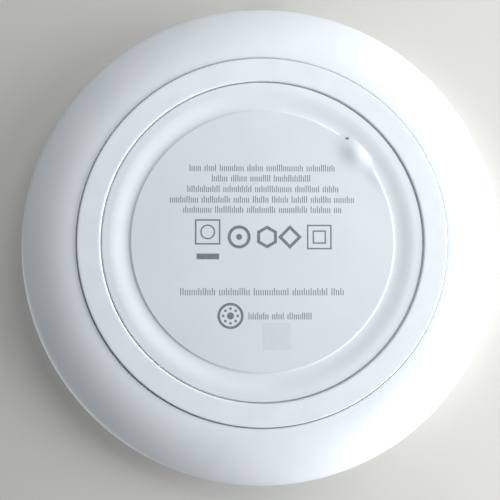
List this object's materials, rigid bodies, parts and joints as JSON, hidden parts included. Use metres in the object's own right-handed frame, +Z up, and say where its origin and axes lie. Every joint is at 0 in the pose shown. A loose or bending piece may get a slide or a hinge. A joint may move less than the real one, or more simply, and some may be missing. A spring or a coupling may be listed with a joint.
{
  "type": "wireless charging pad",
  "caption": "Round low charging pad with a soft white skin, a recessed label and a foot ring underneath, and a USB-C port in its rim.",
  "frame": {"origin": "on the table, under the centre of the pad, at the foot ring's lower face", "axes": "+Z up through the charging face, -Y out through the port, +X to the right seen from the port's side"},
  "size_m": [0.099, 0.0988, 0.0108],
  "materials": {
    "silicone_skin": "soft-touch satin white silicone",
    "housing": "moulded white PC/ABS",
    "base_plastic": "fine satin moulded white PC/ABS",
    "foot_silicone": "matt white silicone",
    "tape": "translucent adhesive film",
    "label_film": "printed pale grey polyester film",
    "screw_steel": "zinc-plated steel",
    "copper_wire": "enamelled copper strands",
    "ferrite": "sintered ferrite in black film",
    "aluminium_plate": "stamped sheet",
    "thermal_silicone": "soft filled silicone",
    "sensor_epoxy": "epoxy bead",
    "board_laminate": "solder mask on glass-epoxy",
    "port_steel": "nickel-plated deep-drawn steel",
    "port_plastic": "black moulded LCP",
    "contact_gold": "gold-plated",
    "chip_epoxy": "moulded epoxy",
    "capacitor_body": "fired ceramic between tinned caps",
    "crystal_can": "seam-welded lid",
    "led_body": "white package with clear epoxy",
    "clear_guide": "moulded clear polycarbonate"
  },
  "bodies": {
    "root": {"silicone_skin": "silicone_skin", "upper_housing": "housing", "base_cover": "base_plastic", "foot_ring": "foot_silicone", "foot_tape": "tape", "rating_label": "label_film", "base_screws": "screw_steel", "board_screws": "screw_steel", "coil_tape": "tape", "charging_coil": "copper_wire", "coil_leads": "copper_wire", "ferrite_disc": "ferrite", "heat_plate": "aluminium_plate", "thermal_pad": "thermal_silicone", "thermistor": "sensor_epoxy", "circuit_board": "board_laminate", "port_shell": "port_steel", "port_tongue": "port_plastic", "port_contacts": "contact_gold", "controller_chip": "chip_epoxy", "bridge_transistors": "chip_epoxy", "resonance_capacitors": "capacitor_body", "filter_capacitors": "capacitor_body", "chip_resistors": "chip_epoxy", "sense_resistor": "chip_epoxy", "power_inductor": "chip_epoxy", "crystal": "crystal_can", "status_led": "led_body", "light_guide": "clear_guide"}
  },
  "joints": []
}
